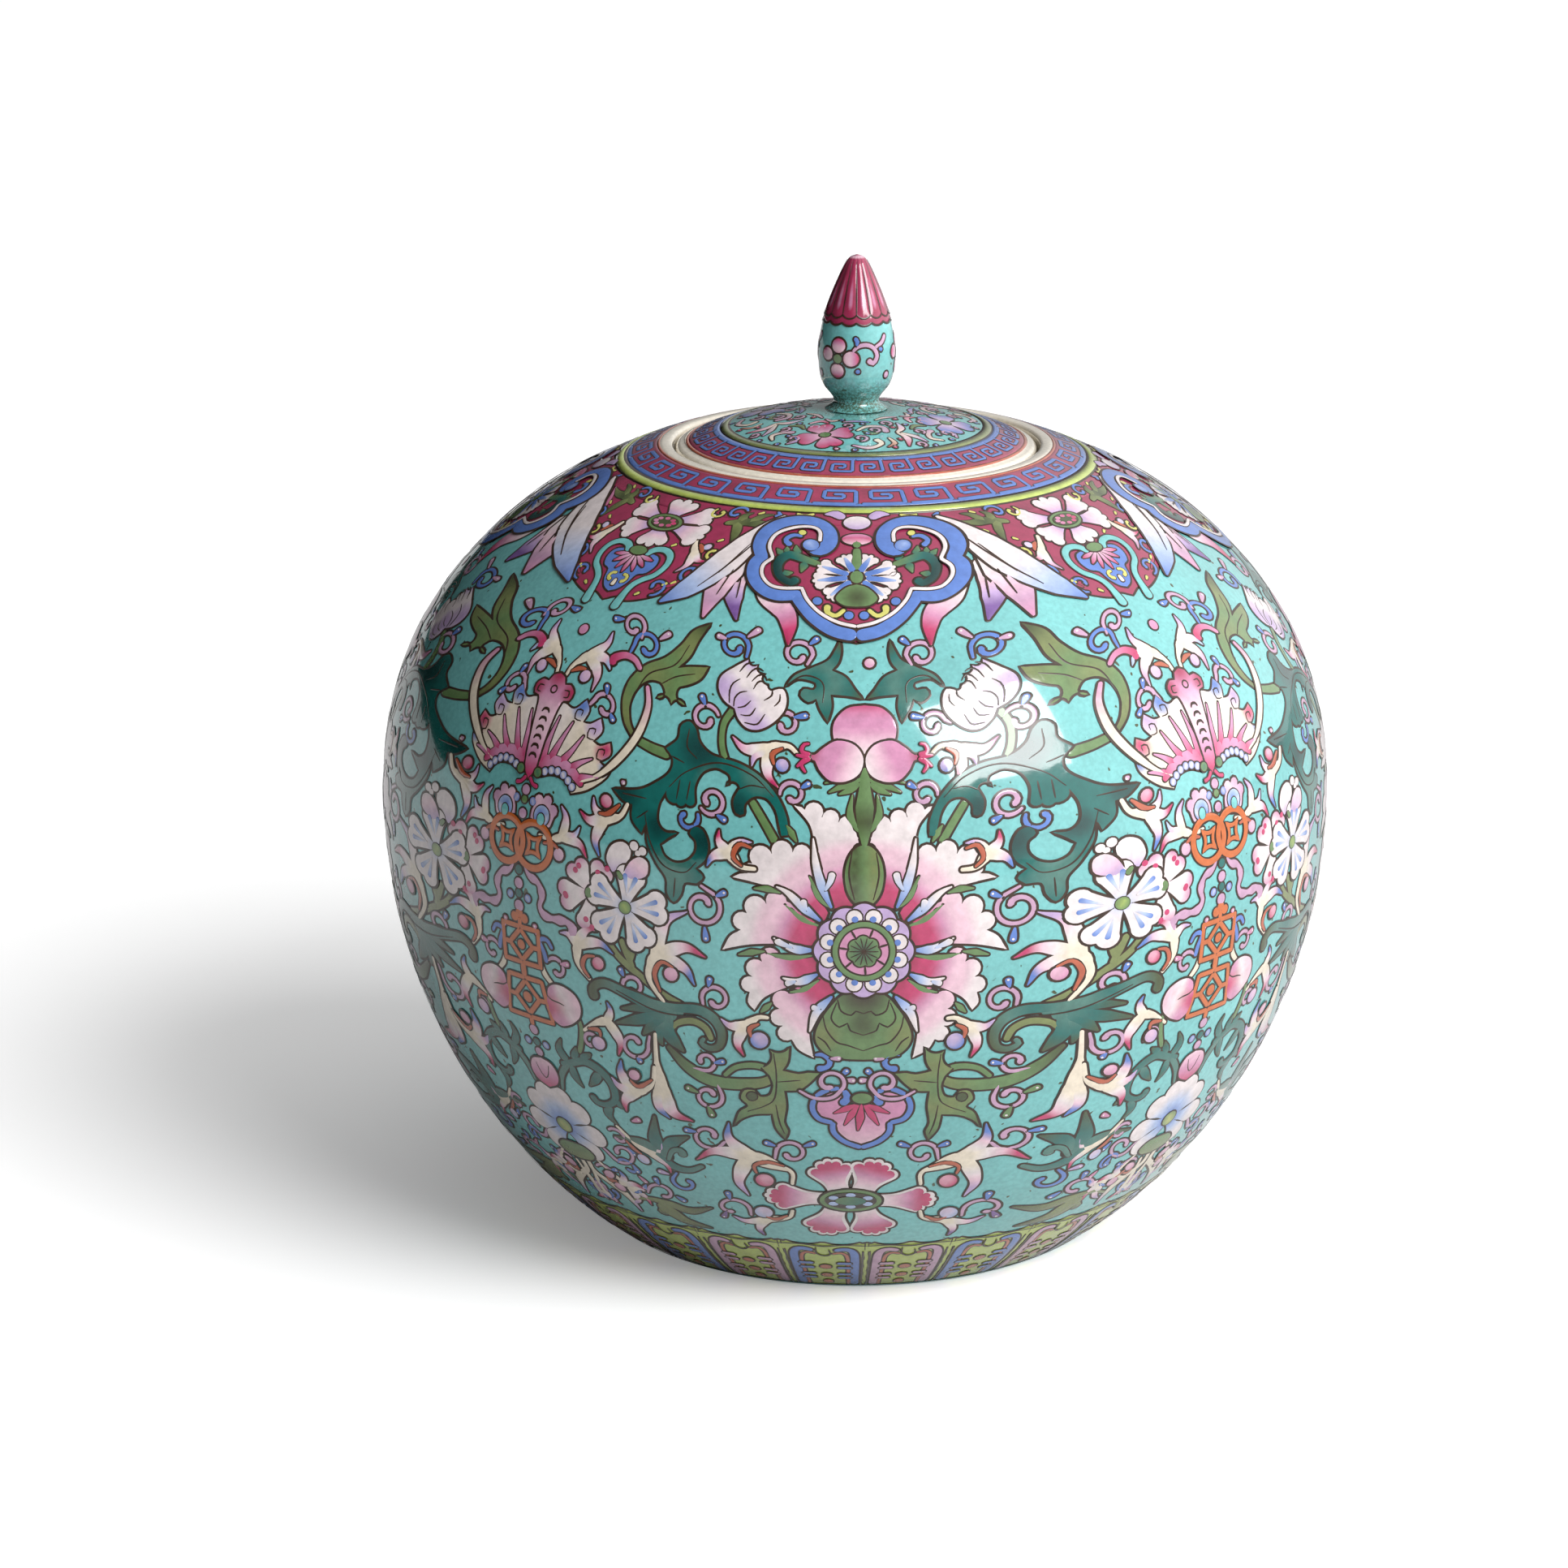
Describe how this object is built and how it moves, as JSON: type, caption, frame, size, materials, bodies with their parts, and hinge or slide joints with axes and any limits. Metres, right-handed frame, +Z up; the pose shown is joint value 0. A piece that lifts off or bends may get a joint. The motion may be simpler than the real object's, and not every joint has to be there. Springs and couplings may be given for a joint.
{
  "type": "ginger jar",
  "caption": "Globular glazed porcelain ginger jar on a low foot ring, with a recessed mouth gallery and a lift-off domed lid topped by a bud finial.",
  "frame": {"origin": "centre of the foot ring's resting plane", "axes": "+Z up along the jar's axis, +X to the jar's right seen from the front, -Y towards the front"},
  "size_m": [0.23, 0.23, 0.2359],
  "materials": {
    "turquoise_enamel": "high-gloss opaque turquoise enamel over glazed porcelain",
    "white_glaze": "clear gloss glaze over off-white porcelain",
    "rose_enamel": "high-gloss rose enamel over glazed porcelain",
    "bare_foot": "matt unglazed porcelain"
  },
  "bodies": {
    "jar": {"lower_body": "turquoise_enamel", "upper_body": "turquoise_enamel", "foot_ring": "bare_foot", "mouth_ring": "white_glaze"},
    "lid": {"lid_plate": "turquoise_enamel", "lid_flange": "white_glaze", "finial": "rose_enamel"}
  },
  "joints": [
    {"name": "lid_lift", "type": "slide", "parent": "jar", "child": "lid", "axis": [0, 0, 1], "range_m": [0, 0.12]}
  ]
}
